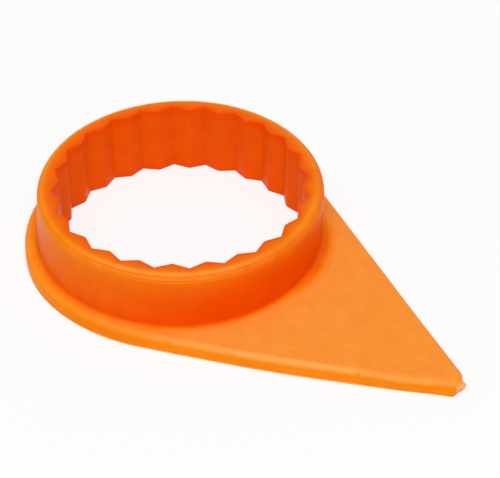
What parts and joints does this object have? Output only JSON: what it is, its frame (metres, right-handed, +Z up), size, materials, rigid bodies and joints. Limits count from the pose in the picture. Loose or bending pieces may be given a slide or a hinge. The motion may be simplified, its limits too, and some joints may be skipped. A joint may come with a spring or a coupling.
{
  "type": "loose wheel nut indicator",
  "caption": "Moulded wheel nut indicator: a serrated collar pushes onto a hex wheel nut, and the tip of its flat teardrop plate shows whether the nut has turned.",
  "frame": {"origin": "on the collar's axis, in the plane of the plate's underside", "axes": "+Z up along the collar's axis, +X along the plate towards the pointer's tip"},
  "size_m": [0.0716, 0.045, 0.011],
  "materials": {
    "orange_plastic": "satin, as moulded"
  },
  "bodies": {
    "root": {"indicator": "orange_plastic"}
  },
  "joints": []
}
